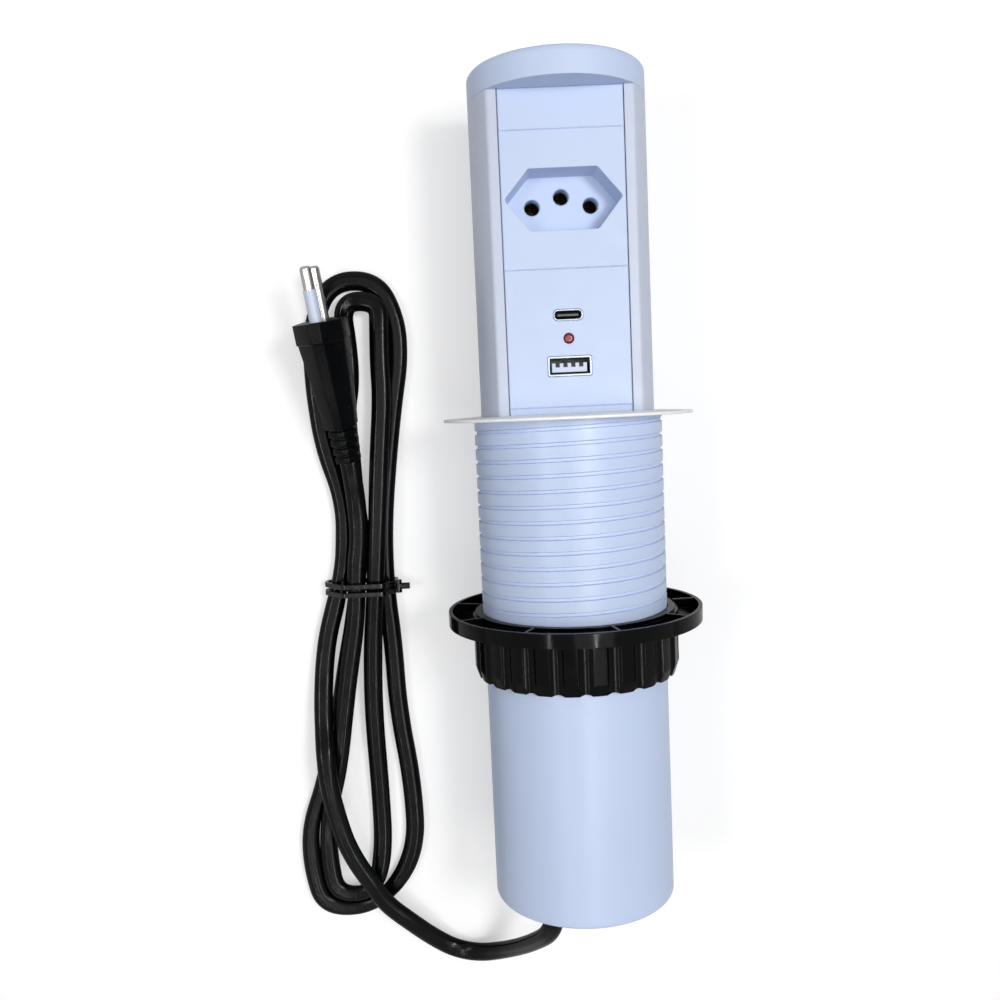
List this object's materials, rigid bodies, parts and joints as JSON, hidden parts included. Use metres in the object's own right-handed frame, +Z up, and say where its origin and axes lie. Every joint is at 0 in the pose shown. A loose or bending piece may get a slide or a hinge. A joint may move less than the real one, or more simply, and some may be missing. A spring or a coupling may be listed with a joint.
{
  "type": "pop up desk socket",
  "caption": "Round desk socket tower with a sliding column, clamp ring and nut for a desk hole, charging ports, and a tied cord with a plug.",
  "frame": {"origin": "on the surface below the tower, under the middle of its length from cap to barrel end, without the cord", "axes": "+Y along the tower's axis towards the cap, +Z up through the socket front, +X to the right seen from above with the cap away from the viewer"},
  "size_m": [0.1496, 0.3237, 0.0863],
  "materials": {
    "white_plastic": "satin",
    "barrel_plastic": "satin",
    "black_plastic": "glossy",
    "cord_jacket": "satin",
    "tie_plastic": "glossy",
    "steel": "satin",
    "brass": "polished",
    "port_white": "matte",
    "port_grey": "matte",
    "red_lens": "glossy",
    "board_green": "satin",
    "inner_grey": "matte",
    "ferrite": "satin",
    "can_aluminium": "satin",
    "ring_rubber": "matte",
    "wire_brown": "satin",
    "wire_blue": "satin"
  },
  "bodies": {
    "barrel": {"barrel": "barrel_plastic", "desk_flange": "white_plastic", "guide_key": "white_plastic", "barrel_lid": "barrel_plastic", "cord_gland": "black_plastic", "inner_lead": "cord_jacket", "cord_lead": "cord_jacket", "cord_hank": "cord_jacket", "plug_body": "cord_jacket", "plug_pins": "steel", "pin_sleeve": "port_white", "twist_tie": "tie_plastic"},
    "column": {"column_shell": "white_plastic", "cap": "white_plastic", "blank_module": "white_plastic", "socket_module": "white_plastic", "charging_module": "white_plastic", "contact_carrier": "inner_grey", "live_contact": "brass", "neutral_contact": "brass", "earth_contact": "brass", "type_a_shell": "steel", "type_a_tongue": "port_white", "type_a_contacts": "steel", "type_c_shell": "steel", "type_c_tongue": "port_grey", "indicator_led": "red_lens", "charger_board": "board_green", "transformer": "ferrite", "capacitors": "can_aluminium", "charger_cover": "inner_grey", "column_base": "white_plastic", "friction_ring": "ring_rubber", "cord_clamp": "inner_grey", "clamp_screws": "steel", "live_wire": "wire_brown", "neutral_wire": "wire_blue"},
    "clamp": {"clamp_flange": "black_plastic"},
    "nut": {"lock_nut": "black_plastic"}
  },
  "joints": [
    {"name": "column_slide", "type": "slide", "parent": "barrel", "child": "column", "axis": [0, -1, 0], "range_m": [0, 0.1003], "deforming": ["inner_lead"]},
    {"name": "nut_slide", "type": "slide", "parent": "barrel", "child": "clamp", "axis": [0, 1, 0], "range_m": [-0.005, 0.0585]},
    {"name": "nut_turn", "type": "hinge", "parent": "clamp", "child": "nut", "pos_m": [0, -0.0484, 0.04313], "axis": [0, 1, 0], "range_deg": [-370, 4300]}
  ],
  "couplings": [
    {"joint": "nut_slide", "follows": "nut_turn", "m_per_rad": 0.0007719}
  ]
}
